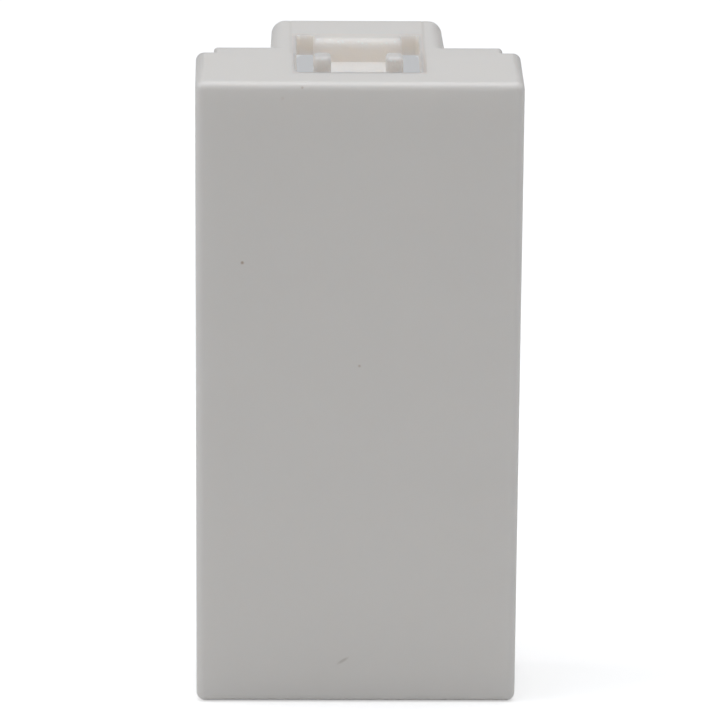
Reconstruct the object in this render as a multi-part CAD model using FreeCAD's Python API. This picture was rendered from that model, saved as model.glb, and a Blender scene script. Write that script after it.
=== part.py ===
import FreeCAD, Part
import math
import os
from FreeCAD import Vector

# Blank module cover: one injection moulding in white ABS that fills a half
# module place, 22.5 mm wide and 45 mm tall, in a modular wiring plate.
# X runs across, Y runs from the front face to the rear, Z runs up.
# The origin is at the middle of the underside, so the cover stands on Z = 0.
# All sizes are in millimetres and all angles in degrees.

# Front box
front_width = 22.4
front_height = 45.0
skirt_depth = 8.3
side_draft = 0.5
edge_radius = 0.6
front_plate = 1.8
side_wall = 1.4
end_wall = 1.55
pocket_corner_radius = 0.8

# Lip that runs on behind each end wall
lip_inset = 1.15
lip_length = 1.8
lip_drop = 0.1
lip_edge_radius = 0.3

# Clip hood behind each end wall
hood_width = 12.1
hood_draft = 0.8
hood_height = 2.2
hood_wall = 1.2
hood_edge_radius = 1.0
hood_rear_radius = 0.2
hood_rear_land = 3.15

# Catch window, with the tongue between its two side slots
window_bar = 2.94
catch_gap = 4.46
slot_width = 1.2
window_corner_radius = 0.3
window_edge_radius = 0.25
seam_edge_radius = 0.08
tongue_width = 6.2
tongue_length = 5.02
tongue_drop = 1.59
tongue_floor = 0.7
roll_radius = 0.75
roll_wall = 1.0
heel_radius = 0.4
tongue_edge_radius = 0.2
root_land = 0.58

# Two posts on the free end of the tongue
post_width = 1.2
post_length = 1.62
post_edge_radius = 0.3

# Witness lines that the side core leaves beside the window: the left one on the
# hood only, the right one on to the front of the window, where it is widest
witness_offset = 0.39
witness_width = 0.14
witness_depth = 0.05
seam_offset = 0.22
seam_width = 0.2

# Inside of the front plate
rib_count = 2
rib_thickness = 0.9
rib_height = 3.6
rib_draft = 0.5
pad_radius = 1.5
pad_height = 0.15
pad_inset = 4.2

# Places along the depth, counted from the front face
lip_depth = skirt_depth + lip_length
post_front = window_bar + catch_gap
roll_front = post_front + tongue_length
slot_end = roll_front + roll_radius + root_land
hood_inside = slot_end + hood_rear_land
total_depth = hood_inside + hood_wall

# Heights at the top end, and half widths
hood_top = front_height - lip_drop
hood_underside = hood_top - hood_height
plate_underside = front_height - end_wall
tongue_top = hood_top - tongue_drop
tongue_underside = tongue_top - tongue_floor
window_half = tongue_width / 2 + slot_width
through = 1.0


def along(depth):
    """Y of a place at this depth behind the front face."""
    return depth - total_depth / 2


def spread(half_width, draft, length):
    """Half width after a drafted wall has run on over this length."""
    return half_width + length * math.tan(math.radians(draft))


def trapezium(front_half, rear_half, front_depth, rear_depth, low, high):
    """Solid whose plan is a trapezium, between two depths and two heights."""
    corners = [
        Vector(-front_half, along(front_depth), low),
        Vector(front_half, along(front_depth), low),
        Vector(rear_half, along(rear_depth), low),
        Vector(-rear_half, along(rear_depth), low),
    ]
    outline = Part.makePolygon(corners + corners[:1])
    return Part.Face(outline).extrude(Vector(0, 0, high - low))


def block(half_width, front_depth, rear_depth, low, high):
    """Straight-sided block, centred on X."""
    return trapezium(half_width, half_width, front_depth, rear_depth, low, high)


def runs_along(edge, direction, tolerance=0.05):
    """True for a straight edge that runs within a few degrees of a direction."""
    run = edge.Vertexes[-1].Point - edge.Vertexes[0].Point
    straight = run.Length > 0.999 * edge.Length > 0
    return straight and run.cross(direction).Length < tolerance * run.Length


def middle(edge):
    return edge.valueAt((edge.FirstParameter + edge.LastParameter) / 2)


ACROSS = Vector(1, 0, 0)
BACK = Vector(0, 1, 0)
UP = Vector(0, 0, 1)


def front_box():
    """Drafted box, rounded on its front edges and its four long corners, and
    hollowed from the rear down to the inside of the front plate."""
    half = front_width / 2
    rear_half = spread(half, side_draft, skirt_depth)
    box = trapezium(half, rear_half, 0, skirt_depth, 0, front_height)
    front_y = along(0)
    rounded = [edge for edge in box.Edges
               if abs(middle(edge).y - front_y) < 0.001 or runs_along(edge, BACK)]
    box = box.makeFillet(edge_radius, rounded)
    inner_front = spread(half - side_wall, side_draft, front_plate)
    pocket_rear = skirt_depth + through
    inner_rear = spread(half - side_wall, side_draft, pocket_rear)
    pocket = trapezium(inner_front, inner_rear, front_plate, pocket_rear,
                       end_wall, front_height - end_wall)
    corners = [edge for edge in pocket.Edges if runs_along(edge, BACK)]
    pocket = pocket.makeFillet(pocket_corner_radius, corners)
    return box.cut(pocket)


def lip():
    """Top lip: a tongue of the end wall, narrower than the box, behind it."""
    half = front_width / 2 - lip_inset
    plate = block(half, skirt_depth - end_wall, lip_depth,
                  front_height - end_wall, hood_top)
    long_edges = [edge for edge in plate.Edges
                  if runs_along(edge, BACK) and middle(edge).z > hood_top - 0.001]
    return plate.makeFillet(lip_edge_radius, long_edges)


def hood():
    """Top clip hood: a plate with two cheeks and a rear wall, open below. The
    cheeks run forward inside the box to the front plate."""
    rear_half = hood_width / 2
    start = front_plate / 2
    front_half = spread(rear_half, hood_draft, total_depth - start)
    shell = trapezium(front_half, rear_half, start, total_depth,
                      hood_underside, hood_top)
    long_edges = [edge for edge in shell.Edges
                  if runs_along(edge, BACK) and middle(edge).z > hood_top - 0.001]
    shell = shell.makeFillet(hood_edge_radius, long_edges)
    rear_edges = [edge for edge in shell.Edges
                  if abs(middle(edge).y - along(total_depth)) < 0.001
                  and middle(edge).z > hood_underside + 0.001]
    shell = shell.makeFillet(hood_rear_radius, rear_edges)
    hollow_front = spread(rear_half - hood_wall, hood_draft, total_depth - start)
    hollow_rear = spread(rear_half - hood_wall, hood_draft, hood_wall)
    hollow = trapezium(hollow_front, hollow_rear, start, hood_inside,
                       hood_underside - through, plate_underside)
    return shell.cut(hollow)


def window():
    """Cutter for the window, through the end wall, the lip and the hood. Its
    long edges are eased where it opens in the top of the box, the right one
    less, because the mould parts beside it."""
    cutter = block(window_half, window_bar, slot_end,
                   hood_underside, front_height + through)
    corners = [edge for edge in cutter.Edges if runs_along(edge, UP)]
    cutter = cutter.makeFillet(window_corner_radius, corners)
    ease_start = window_bar + window_corner_radius
    ease_length = skirt_depth - ease_start
    for side, radius in ((-1, window_edge_radius), (1, seam_edge_radius)):
        low = front_height - radius
        ease = block(radius, ease_start, skirt_depth, low, front_height + through)
        ease.translate(Vector(side * window_half, 0, 0))
        kept = Part.makeCylinder(radius, ease_length,
                                 Vector(side * (window_half + radius), along(ease_start), low), BACK)
        cutter = cutter.fuse(ease.cut(kept))
    return cutter


def tongue():
    """Spring tongue: it leaves the hood plate, rolls down to a lower floor and
    runs forward to its free end, where two posts stand on it. The side edges
    of the roll are rounded, because the tongue bends there."""
    half = tongue_width / 2
    root = slot_end + window_corner_radius

    def point(depth, height):
        return Vector(-half, along(depth), height)

    bend = roll_radius * (1 - math.sqrt(0.5))
    roll_rear = roll_front + roll_wall
    heel = heel_radius * (1 - math.sqrt(0.5))
    heel_front = roll_rear - heel_radius
    heel_top = tongue_underside + heel_radius
    roll = Part.Arc(point(roll_front + roll_radius, hood_top),
                    point(roll_front + bend, hood_top - bend),
                    point(roll_front, hood_top - roll_radius))
    heel_arc = Part.Arc(point(heel_front, tongue_underside),
                        point(roll_rear - heel, tongue_underside + heel),
                        point(roll_rear, heel_top))
    sides = [
        (point(root, hood_top), point(roll_front + roll_radius, hood_top)),
        roll,
        (point(roll_front, hood_top - roll_radius), point(roll_front, tongue_top)),
        (point(roll_front, tongue_top), point(post_front, tongue_top)),
        (point(post_front, tongue_top), point(post_front, tongue_underside)),
        (point(post_front, tongue_underside), point(heel_front, tongue_underside)),
        heel_arc,
        (point(roll_rear, heel_top), point(roll_rear, plate_underside)),
        (point(roll_rear, plate_underside), point(root, plate_underside)),
        (point(root, plate_underside), point(root, hood_top)),
    ]
    edges = []
    for side in sides:
        if isinstance(side, tuple):
            side = Part.LineSegment(*side)
        edges.append(side.toShape())
    profile = Part.Face(Part.Wire(edges))
    spring = profile.extrude(Vector(tongue_width, 0, 0))
    roll_edges = [edge for edge in spring.Edges
                  if abs(abs(middle(edge).x) - half) < 0.001
                  and middle(edge).z > tongue_top + 0.001
                  and (middle(edge).y < along(roll_front + roll_radius) or middle(edge).z > hood_top - 0.001)]
    spring = spring.makeFillet(tongue_edge_radius, roll_edges)
    for hand in (-1, 1):
        spring = spring.fuse(post(hand))
    return spring


def post(side):
    """One post, rounded on its upright edges and at the top, flush with the
    tongue's side and end."""
    stud = Part.makeBox(post_width, post_length, tongue_drop + tongue_floor / 2,
                        Vector(-post_width / 2, along(post_front), tongue_underside + tongue_floor / 2))
    stud.translate(Vector(side * (tongue_width - post_width) / 2, 0, 0))
    rounded = [edge for edge in stud.Edges
               if runs_along(edge, UP) or middle(edge).z > hood_top - 0.001]
    return stud.makeFillet(post_edge_radius, rounded)


def witness_line(front_depth, front_offset, width_at_front):
    """Shallow groove beside the window, from this depth to the rear of the hood."""
    rear = total_depth + through
    rear_place = window_half + witness_offset
    front_place = window_half + front_offset
    low = hood_top - witness_depth
    corners = [
        Vector(front_place - width_at_front / 2, along(front_depth), low),
        Vector(front_place + width_at_front / 2, along(front_depth), low),
        Vector(rear_place + witness_width / 2, along(rear), low),
        Vector(rear_place - witness_width / 2, along(rear), low),
    ]
    outline = Part.makePolygon(corners + corners[:1])
    return Part.Face(outline).extrude(Vector(0, 0, lip_drop + witness_depth + through))


def end_clip(body):
    """Adds the lip, the hood and the tongue of the top end to the box."""
    body = body.fuse(lip()).fuse(hood())
    body = body.cut(window())
    left_line = witness_line(skirt_depth, witness_offset, witness_width)
    left_line = left_line.mirror(Vector(0, 0, 0), ACROSS)
    body = body.cut(left_line)
    body = body.cut(witness_line(window_bar, seam_offset, seam_width))
    return body.fuse(tongue())


def stiffening_ribs():
    """Cross ribs on the inside of the front plate, evenly spaced."""
    ribs = []
    pitch = front_height / (rib_count + 1)
    half = front_width / 2 - side_wall / 2
    for number in range(1, rib_count + 1):
        centre = number * pitch
        root = rib_thickness / 2
        tip = root - rib_height * math.tan(math.radians(rib_draft))
        outline = Part.makePolygon([
            Vector(-half, along(front_plate / 2), centre - root),
            Vector(-half, along(front_plate + rib_height), centre - tip),
            Vector(-half, along(front_plate + rib_height), centre + tip),
            Vector(-half, along(front_plate / 2), centre + root),
            Vector(-half, along(front_plate / 2), centre - root),
        ])
        ribs.append(Part.Face(outline).extrude(Vector(2 * half, 0, 0)))
    return ribs


def ejector_pads():
    """Round pads where the ejector pins push, near the corners of the plate."""
    pads = []
    across = front_width / 2 - side_wall - pad_inset
    for x in (-across, across):
        for z in (pad_inset + end_wall + hood_height, front_height - pad_inset - end_wall - hood_height):
            pads.append(Part.makeCylinder(pad_radius, front_plate / 2 + pad_height,
                                          Vector(x, along(front_plate / 2), z), BACK))
    return pads


def blank_cover():
    body = front_box()
    middle_height = Vector(0, 0, front_height / 2)
    body = end_clip(body)
    body = end_clip(body.mirror(middle_height, UP))
    body = body.fuse(stiffening_ribs() + ejector_pads())
    return body.removeSplitter()


os.makedirs("parts", exist_ok=True)
cover = blank_cover()
cover.exportStep("parts/blank_cover.step")
box = cover.BoundBox
print("solids", len(cover.Solids), "valid", cover.isValid(), "volume", round(cover.Volume, 1))
print("size", round(box.XLength, 3), round(box.YLength, 3), round(box.ZLength, 3))
print("low corner", round(box.XMin, 3), round(box.YMin, 3), round(box.ZMin, 3))
print("centre of mass", cover.Solids[0].CenterOfMass)
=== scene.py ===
import math

import bmesh
import bpy
from mathutils import Matrix, Vector


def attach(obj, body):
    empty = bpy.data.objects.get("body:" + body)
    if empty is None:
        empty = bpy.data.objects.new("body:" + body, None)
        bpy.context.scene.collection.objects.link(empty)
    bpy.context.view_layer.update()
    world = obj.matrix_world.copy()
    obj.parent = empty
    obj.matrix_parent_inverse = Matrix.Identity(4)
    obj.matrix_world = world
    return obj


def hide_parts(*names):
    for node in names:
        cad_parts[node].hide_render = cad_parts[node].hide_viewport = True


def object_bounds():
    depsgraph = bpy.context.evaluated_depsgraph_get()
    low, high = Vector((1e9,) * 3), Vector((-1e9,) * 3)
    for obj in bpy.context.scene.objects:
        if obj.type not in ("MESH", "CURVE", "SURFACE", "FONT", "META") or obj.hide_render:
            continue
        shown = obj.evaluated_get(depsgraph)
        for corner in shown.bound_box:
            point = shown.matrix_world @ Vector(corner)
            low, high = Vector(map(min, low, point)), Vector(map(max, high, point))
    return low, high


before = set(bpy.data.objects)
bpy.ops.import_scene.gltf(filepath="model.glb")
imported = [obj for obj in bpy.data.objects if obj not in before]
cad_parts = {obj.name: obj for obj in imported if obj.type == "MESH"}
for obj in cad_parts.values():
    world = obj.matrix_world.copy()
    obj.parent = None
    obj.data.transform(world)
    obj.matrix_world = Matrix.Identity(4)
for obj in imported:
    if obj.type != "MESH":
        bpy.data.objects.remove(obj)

cad_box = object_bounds()

# The cover
# One injection moulding in white ABS: a front box that is open at the back, with a
# clip hood and a spring tongue at each end. Its mould is eased on every edge, so the
# sharp edges of the model get the small rounding that a moulded edge has.
MM = 0.001
MERGE = 0.0005 * MM
FLAT = math.radians(0.05)
SHARP = math.radians(35)
EDGE_EASE = 0.07 * MM
EDGE_STEPS = 2

cover = bpy.data.objects.new("moulding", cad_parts["blank_cover"].data.copy())
bpy.context.scene.collection.objects.link(cover)
shell = bmesh.new()
shell.from_mesh(cover.data)
bmesh.ops.remove_doubles(shell, verts=shell.verts, dist=MERGE)
bmesh.ops.dissolve_limit(shell, angle_limit=FLAT, verts=shell.verts, edges=shell.edges)
sharp_edges = [e for e in shell.edges if e.is_manifold and e.calc_face_angle(0) > SHARP]
bmesh.ops.bevel(shell, geom=sharp_edges, offset=EDGE_EASE, offset_type="OFFSET",
                segments=EDGE_STEPS, profile=0.5, affect="EDGES", clamp_overlap=True)
for face in shell.faces:
    face.smooth = True
shell.to_mesh(cover.data)
shell.free()

# Only the eased edges shade round: each large face keeps its own flat normal.
ALL_BY_AREA = 100
evened = cover.modifiers.new("even_normals", "WEIGHTED_NORMAL")
evened.mode = "FACE_AREA"
evened.weight = ALL_BY_AREA
evaluated = cover.evaluated_get(bpy.context.evaluated_depsgraph_get())
cover.data = bpy.data.meshes.new_from_object(evaluated)
cover.modifiers.clear()
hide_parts("blank_cover")
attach(cover, "root")


def linear(hex_colour):
    """sRGB hex to the linear colour that a shader takes."""
    channels = [int(hex_colour[i:i + 2], 16) / 255 for i in (1, 3, 5)]
    lit = [c / 12.92 if c <= 0.04045 else ((c + 0.055) / 1.055) ** 2.4 for c in channels]
    return (*lit, 1.0)


def add(tree, kind, inputs=None, **settings):
    """Adds a node, sets its properties and fills its inputs with values or links."""
    node = tree.nodes.new(kind)
    for name, value in settings.items():
        setattr(node, name, value)
    for key, value in (inputs or {}).items():
        if isinstance(value, bpy.types.NodeSocket):
            tree.links.new(value, node.inputs[key])
        else:
            node.inputs[key].default_value = value
    return node


# White ABS, injection moulded against a finely spark-eroded steel face: a satin white
# with a grain that is only just seen, and a soft sheen on what is rounded. The real
# grain, about 0.03 mm, is too fine to show, so it is drawn several times as coarse.
# Long shallow waves are left where the plastic shrinks, and its white clouds a little.
GRAIN = 0.14 * MM
WAVE = 2.2 * MM
CLOUD = 9 * MM
CLOUD_WHITES = ("#F4F0EB", "#F6F2ED")
plastic = bpy.data.materials.new("white_abs_fine_spark_texture")
plastic.use_nodes = True
tree = plastic.node_tree
tree.nodes.clear()
place = add(tree, "ShaderNodeTexCoord").outputs["Object"]
cloud = add(tree, "ShaderNodeTexNoise", {"Vector": place, "Scale": 1 / CLOUD, "Detail": 3.0})
grain = add(tree, "ShaderNodeTexNoise", {"Vector": place, "Scale": 1 / GRAIN, "Detail": 2.0})
wave = add(tree, "ShaderNodeTexNoise", {"Vector": place, "Scale": 1 / WAVE, "Detail": 1.0})
dirt_and_painted_light = add(tree, "ShaderNodeMix", {
    "Factor": cloud.outputs["Fac"], "A": linear(CLOUD_WHITES[0]),
    "B": linear(CLOUD_WHITES[1])}, data_type="RGBA").outputs["Result"]

# Dirt on the front, as brown specks no larger than a grain of dust. Each is given by how
# far it lies from the middle and from the table, its radius in mm, and its strength.
FRONT = cad_box[0][1] / MM
SPECK_BROWN = "#BDA58E"
SPECK_CORE = 0.3
SPECKS = (
    (-7.99, 32.28, 0.15, 0.75),
    (0.09, 24.87, 0.13, 0.45),
    (-3.93, 44.69, 0.14, 0.6),
    (-5.25, 43.92, 0.16, 0.12),
)
for across, up, radius, strength in SPECKS:
    away = add(tree, "ShaderNodeVectorMath", {0: place, 1: Vector((across, FRONT, up)) * MM},
               operation="DISTANCE")
    spot = add(tree, "ShaderNodeMapRange", {
        "Value": away.outputs["Value"], "From Min": SPECK_CORE * radius * MM,
        "From Max": radius * MM, "To Min": strength, "To Max": 0.0})
    dirt_and_painted_light = add(tree, "ShaderNodeMix", {
        "Factor": spot.outputs["Result"], "A": dirt_and_painted_light,
        "B": linear(SPECK_BROWN)}, data_type="RGBA").outputs["Result"]

# Wear on the front: one short streak, rubbed aslant low down near the middle. It is a
# soft-edged oval that is turned by its slope.
STREAK_GREY = "#CFC8C0"
STREAK_MIDDLE = (-0.92, 3.14)
STREAK_HALF = (0.48, 0.12)
STREAK_SLOPE = math.radians(33)
STREAK_FADE = (0.4, 1.2)
STREAK_STRENGTH = 0.6
middle = Vector((STREAK_MIDDLE[0], FRONT, STREAK_MIDDLE[1])) * MM
shrink = (1 / (STREAK_HALF[0] * MM), 1 / (STREAK_HALF[0] * MM), 1 / (STREAK_HALF[1] * MM))
from_streak = add(tree, "ShaderNodeVectorMath", {0: place, 1: middle}, operation="SUBTRACT")
along = add(tree, "ShaderNodeVectorRotate", {
    "Vector": from_streak.outputs["Vector"], "Angle": STREAK_SLOPE}, rotation_type="Y_AXIS")
spread = add(tree, "ShaderNodeVectorMath", {0: along.outputs["Vector"], 1: shrink},
             operation="MULTIPLY")
reach = add(tree, "ShaderNodeVectorMath", {0: spread.outputs["Vector"]}, operation="LENGTH")
rub = add(tree, "ShaderNodeMapRange", {
    "Value": reach.outputs["Value"], "From Min": STREAK_FADE[0], "From Max": STREAK_FADE[1],
    "To Min": STREAK_STRENGTH, "To Max": 0.0})
dirt_and_painted_light = add(tree, "ShaderNodeMix", {
    "Factor": rub.outputs["Result"], "A": dirt_and_painted_light,
    "B": linear(STREAK_GREY)}, data_type="RGBA").outputs["Result"]


def box_mask(tree, place, low, high):
    """1 inside the box between two corners given in mm, and 0 outside it."""
    middle = (Vector(low) + Vector(high)) / 2 * MM
    half = (Vector(high) - Vector(low)) / 2 * MM
    away = add(tree, "ShaderNodeVectorMath", {0: place, 1: middle}, operation="SUBTRACT")
    away = add(tree, "ShaderNodeVectorMath", {0: away.outputs["Vector"]}, operation="ABSOLUTE")
    away = add(tree, "ShaderNodeVectorMath", {0: away.outputs["Vector"], 1: half},
               operation="DIVIDE")
    axes = add(tree, "ShaderNodeSeparateXYZ", {"Vector": away.outputs["Vector"]})
    widest = add(tree, "ShaderNodeMath", {0: axes.outputs["X"], 1: axes.outputs["Y"]},
                 operation="MAXIMUM")
    widest = add(tree, "ShaderNodeMath", {0: widest.outputs["Value"], 1: axes.outputs["Z"]},
                 operation="MAXIMUM")
    inside = add(tree, "ShaderNodeMath", {0: widest.outputs["Value"], 1: 1.0},
                 operation="LESS_THAN")
    return inside.outputs["Value"]


# Both halves and both ends are alike, so places on the clips are given once: across from
# the middle, back from the front face, and up or down from half height.
TOP = cad_box[1][2] / MM
HALF_HEIGHT = TOP / 2
folded = add(tree, "ShaderNodeVectorMath", {
    0: place, 1: Vector((0, FRONT, HALF_HEIGHT)) * MM}, operation="SUBTRACT")
folded = add(tree, "ShaderNodeVectorMath", {0: folded.outputs["Vector"]},
             operation="ABSOLUTE").outputs["Vector"]

# The spark texture is deeper on the tongue and its posts, where it glitters a little,
# and shallow on the large faces.
TONGUE_HALF = 3.15
TONGUE_FRONT, TONGUE_REAR = 7.2, 13.2
TONGUE_FLOOR = 20.0
SHALLOW, DEEP = 0.12, 1.0
tongue = box_mask(tree, folded, (-TONGUE_HALF, TONGUE_FRONT, TONGUE_FLOOR),
                  (TONGUE_HALF, TONGUE_REAR, HALF_HEIGHT))
coarse = add(tree, "ShaderNodeMapRange", {"Value": tongue, "To Min": SHALLOW, "To Max": DEEP})

# The tongue, its posts and the walls of the window are thin, and light from above soaks
# through them, so they glow more than the thick faces of the box. Over them a lighter,
# warmer white is also painted in as a painted glow.
WINDOW_HALF = 4.6
WINDOW_FRONT, WINDOW_REAR = 2.6, 14.2
WINDOW_FLOOR = 19.9
ABOVE_TOP = 0.1
THICK_GLOW, THIN_GLOW = 0.25, 0.95
PAINTED_GLOW_WHITE = "#F9EFE8"
window = box_mask(tree, folded, (-WINDOW_HALF, WINDOW_FRONT, WINDOW_FLOOR),
                  (WINDOW_HALF, WINDOW_REAR, HALF_HEIGHT + ABOVE_TOP))
glow = add(tree, "ShaderNodeMapRange", {
    "Value": window, "To Min": THICK_GLOW, "To Max": THIN_GLOW})
# Painted glow: the thin parts are painted a lighter, warmer white.
dirt_and_painted_light = add(tree, "ShaderNodeMix", {
    "Factor": window, "A": dirt_and_painted_light,
    "B": linear(PAINTED_GLOW_WHITE)}, data_type="RGBA").outputs["Result"]

# A witness line of the mould runs back beside each window on the top, and painted shade
# in its groove shows it up. Each is given by how far from the middle it starts and ends,
# where it starts behind the front face, and how dark its painted shade is.
REAR = cad_box[1][1] / MM
PAINTED_SHADE_GREY = "#A8A199"
WITNESS_LINES = (
    (-4.69, -4.69, 8.3, 0.09),
    (4.52, 4.69, 2.94, 0.16),
)
LINE_CORE, LINE_EDGE = 0.03, 0.15
LINE_DOWN = 0.3
axes = add(tree, "ShaderNodeSeparateXYZ", {"Vector": place})
for front_x, rear_x, start, painted_shade in WITNESS_LINES:
    course = add(tree, "ShaderNodeMapRange", {
        "Value": axes.outputs["Y"], "From Min": (FRONT + start) * MM, "From Max": REAR * MM,
        "To Min": front_x * MM, "To Max": rear_x * MM})
    off = add(tree, "ShaderNodeMath", {0: axes.outputs["X"], 1: course.outputs["Result"]},
              operation="SUBTRACT")
    off = add(tree, "ShaderNodeMath", {0: off.outputs["Value"]}, operation="ABSOLUTE")
    line = add(tree, "ShaderNodeMapRange", {
        "Value": off.outputs["Value"], "From Min": LINE_CORE * MM, "From Max": LINE_EDGE * MM,
        "To Min": painted_shade, "To Max": 0.0})
    begun = add(tree, "ShaderNodeMath", {0: axes.outputs["Y"], 1: (FRONT + start) * MM},
                operation="GREATER_THAN")
    on_top = add(tree, "ShaderNodeMath", {0: axes.outputs["Z"], 1: (TOP - LINE_DOWN) * MM},
                 operation="GREATER_THAN")
    there = add(tree, "ShaderNodeMath", {0: begun.outputs["Value"], 1: on_top.outputs["Value"]},
                operation="MULTIPLY")
    factor = add(tree, "ShaderNodeMath", {0: line.outputs["Result"], 1: there.outputs["Value"]},
                 operation="MULTIPLY")
    # The groove of each witness line is darkened with painted shade.
    dirt_and_painted_light = add(tree, "ShaderNodeMix", {
        "Factor": factor.outputs["Value"], "A": dirt_and_painted_light,
        "B": linear(PAINTED_SHADE_GREY)}, data_type="RGBA").outputs["Result"]

# The ridge of the tongue and the tops of its posts are burnished by the frame's catch:
# single grains there are polished, and a lighter white is painted on them as a painted glint.
PAINTED_GLINT_WHITE = "#FFFBF4"
GLINT_GAP = 0.30 * MM
GLINT_CORE, GLINT_EDGE = 0.20, 0.36
RIDGE_LOW, RIDGE_HIGH = 0.46, 0.17
glints = add(tree, "ShaderNodeTexVoronoi", {"Vector": place, "Scale": 1 / GLINT_GAP})
grains = add(tree, "ShaderNodeMapRange", {
    "Value": glints.outputs["Distance"], "From Min": GLINT_CORE, "From Max": GLINT_EDGE,
    "To Min": 1.0, "To Max": 0.0})
ridge = box_mask(tree, folded, (-TONGUE_HALF, TONGUE_FRONT, HALF_HEIGHT - RIDGE_LOW),
                 (TONGUE_HALF, TONGUE_REAR, HALF_HEIGHT - RIDGE_HIGH))
polish_and_painted_glint = add(tree, "ShaderNodeMath", {0: grains.outputs["Result"], 1: ridge},
            operation="MULTIPLY")
# Painted glint: the polished grains are painted a lighter white.
dirt_and_painted_light = add(tree, "ShaderNodeMix", {
    "Factor": polish_and_painted_glint.outputs["Value"], "A": dirt_and_painted_light,
    "B": linear(PAINTED_GLINT_WHITE)}, data_type="RGBA").outputs["Result"]

# The skin itself: satin, smoother where it glints, with the grain and the waves as
# relief. Plain ABS has an index of 1.54, and its textured skin reflects a little less.
# Light goes furthest into it in red, which warms what glows.
SATIN = (0.27, 0.41)
POLISH = -0.2
GRAIN_DEPTH = 0.030 * MM
WAVE_DEPTH = 0.008 * MM
satin = add(tree, "ShaderNodeMapRange", {
    "Value": grain.outputs["Fac"], "To Min": SATIN[0], "To Max": SATIN[1]})
polish = add(tree, "ShaderNodeMath", {0: polish_and_painted_glint.outputs["Value"], 1: POLISH},
             operation="MULTIPLY")
rough = add(tree, "ShaderNodeMath", {0: satin.outputs["Result"], 1: polish.outputs["Value"]},
            operation="ADD")
relief = add(tree, "ShaderNodeBump", {
    "Height": grain.outputs["Fac"], "Distance": GRAIN_DEPTH,
    "Strength": coarse.outputs["Result"]})
swell = add(tree, "ShaderNodeBump", {
    "Height": wave.outputs["Fac"], "Distance": WAVE_DEPTH, "Strength": 1.0,
    "Normal": relief.outputs["Normal"]})
skin = add(tree, "ShaderNodeBsdfPrincipled", {
    "Base Color": dirt_and_painted_light, "Roughness": rough.outputs["Value"],
    "Normal": swell.outputs["Normal"], "IOR": 1.46,
    "Subsurface Weight": glow.outputs["Result"], "Subsurface Radius": (0.90, 0.82, 0.75),
    "Subsurface Scale": 2.9 * MM})
add(tree, "ShaderNodeOutputMaterial", {"Surface": skin.outputs["BSDF"]})
cover.data.materials.clear()
cover.data.materials.append(plastic)

# The table
# A plain white table top that runs back under the cover and past the view. It is no
# part of the object: it only carries it and keeps its soft shadow.
TABLE_HALF = 3.0
table = bpy.data.objects.new("table", bpy.data.meshes.new("table"))
bpy.context.scene.collection.objects.link(table)
corners = [(-TABLE_HALF, -TABLE_HALF, 0), (TABLE_HALF, -TABLE_HALF, 0),
           (TABLE_HALF, TABLE_HALF, 0), (-TABLE_HALF, TABLE_HALF, 0)]
table.data.from_pydata(corners, [], [(0, 1, 2, 3)])

# A matt white laminate. The camera sees it lifted to the white of the backdrop, but for
# one oval patch behind the cover, which the slots beside the tongue look through to:
# that patch is a painted shadow, a pale grey that is not lifted. Its places are in metres.
TABLE_WHITE = "#F3F3F3"
PAINTED_SHADOW_GREY = "#E4E4E4"
PATCH_MIDDLE = (0.0028, 0.171, 0.0)
PATCH_HALF = (0.0085, 0.0095)
PATCH_FADE = (0.8, 1.0)
LIFT = 0.45
table_top = bpy.data.materials.new("white_matt_table")
table_top.use_nodes = True
tree = table_top.node_tree
tree.nodes.clear()
place = add(tree, "ShaderNodeTexCoord").outputs["Object"]
centred = add(tree, "ShaderNodeVectorMath", {0: place, 1: PATCH_MIDDLE}, operation="SUBTRACT")
stretched = add(tree, "ShaderNodeVectorMath", {
    0: centred.outputs["Vector"], 1: (1 / PATCH_HALF[0], 1 / PATCH_HALF[1], 1.0)},
    operation="MULTIPLY")
reach = add(tree, "ShaderNodeVectorMath", {0: stretched.outputs["Vector"]}, operation="LENGTH")
open_table = add(tree, "ShaderNodeMapRange", {
    "Value": reach.outputs["Value"], "From Min": PATCH_FADE[0], "From Max": PATCH_FADE[1]})
# The painted shadow: the patch is tinted grey and is left out of the lift.
tint = add(tree, "ShaderNodeMix", {
    "Factor": open_table.outputs["Result"], "A": linear(PAINTED_SHADOW_GREY),
    "B": linear(TABLE_WHITE)}, data_type="RGBA")
matt = add(tree, "ShaderNodeBsdfDiffuse", {"Color": tint.outputs["Result"]})
seen = add(tree, "ShaderNodeLightPath")
lift = add(tree, "ShaderNodeMath", {0: open_table.outputs["Result"], 1: LIFT},
           operation="MULTIPLY")
seen_lift = add(tree, "ShaderNodeMath", {
    0: lift.outputs["Value"], 1: seen.outputs["Is Camera Ray"]}, operation="MULTIPLY")
lifted = add(tree, "ShaderNodeEmission", {
    "Color": linear("#FFFFFF"), "Strength": seen_lift.outputs["Value"]})
shown = add(tree, "ShaderNodeAddShader", {
    0: matt.outputs["BSDF"], 1: lifted.outputs["Emission"]})
add(tree, "ShaderNodeOutputMaterial", {"Surface": shown.outputs["Shader"]})
table.data.materials.append(table_top)

# The backdrop
# An even, faint fill from all round, as from the white walls of a light tent. The camera
# sees it as plain white.
FILL_WHITE = "#FCFDFF"
FILL = 0.165
world = bpy.data.worlds.new("studio")
bpy.context.scene.world = world
world.use_nodes = True
tree = world.node_tree
tree.nodes.clear()
fill = add(tree, "ShaderNodeBackground", {"Color": linear(FILL_WHITE), "Strength": FILL})
white = add(tree, "ShaderNodeBackground", {"Color": linear("#FFFFFF"), "Strength": 1.0})
seen = add(tree, "ShaderNodeLightPath")
sky = add(tree, "ShaderNodeMixShader", {
    "Fac": seen.outputs["Is Camera Ray"], 1: fill.outputs["Background"],
    2: white.outputs["Background"]})
add(tree, "ShaderNodeOutputWorld", {"Surface": sky.outputs["Shader"]})

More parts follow.
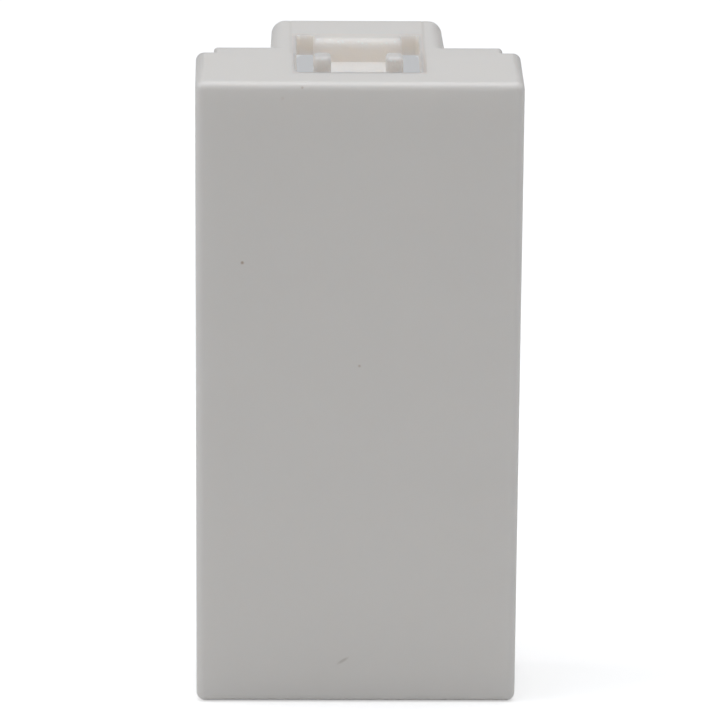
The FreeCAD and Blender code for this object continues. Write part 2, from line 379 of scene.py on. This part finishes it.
# The lamps
# Three square soft boxes turned to the cover: a large one straight above, and a smaller
# one high up on each side, the left one the stronger. Each is given by its place and
# its width and height in metres, and its power in watts.
LAMP_WHITE = "#FAFCFF"
AIM = Vector((0, 0, 0.03))
SOFT_BOXES = {
    "above": ((0.0, 0.0, 0.62), (0.50, 0.50), 1.90),
    "high_left": ((-0.46, -0.05, 0.50), (0.35, 0.35), 0.92),
    "high_right": ((0.46, -0.05, 0.50), (0.35, 0.35), 0.38),
}
for name, (spot, size, power) in SOFT_BOXES.items():
    lamp = bpy.data.lights.new(name, "AREA")
    lamp.shape = "RECTANGLE"
    lamp.size, lamp.size_y = size
    lamp.energy = power
    lamp.color = linear(LAMP_WHITE)[:3]
    holder = bpy.data.objects.new(name, lamp)
    holder.location = spot
    holder.rotation_euler = (AIM - Vector(spot)).to_track_quat("-Z", "Y").to_euler()
    bpy.context.scene.collection.objects.link(holder)

# The camera
# A long lens a third of a metre in front of the cover, looking down at it a little. Its
# focal length is in pixels of the square picture, and its place is in mm.
LENS_PX = 5144.5
IMAGE_PX = 720
SENSOR = 36.0
YAW, PITCH, ROLL = math.radians(0.972), math.radians(17.680), math.radians(0.438)
AHEAD = 337.84
NEAREST, FURTHEST = 0.01, 20.0
eye = Vector((-5.606, -AHEAD + FRONT, 133.012)) * MM
forward = Vector((math.sin(YAW) * math.cos(PITCH), math.cos(YAW) * math.cos(PITCH),
                  -math.sin(PITCH)))
level = Vector((math.cos(YAW), -math.sin(YAW), 0.0))
upright = level.cross(forward)
right = math.cos(ROLL) * level + math.sin(ROLL) * upright
up = -math.sin(ROLL) * level + math.cos(ROLL) * upright
lens = bpy.data.cameras.new("camera")
lens.sensor_width = SENSOR
lens.lens = LENS_PX / IMAGE_PX * SENSOR
lens.clip_start = NEAREST
lens.clip_end = FURTHEST
camera = bpy.data.objects.new("camera", lens)
turned = Matrix((right, up, -forward)).transposed().to_4x4()
camera.matrix_world = Matrix.Translation(eye) @ turned
bpy.context.scene.collection.objects.link(camera)
bpy.context.scene.camera = camera
bpy.context.scene.view_settings.view_transform = "Standard"
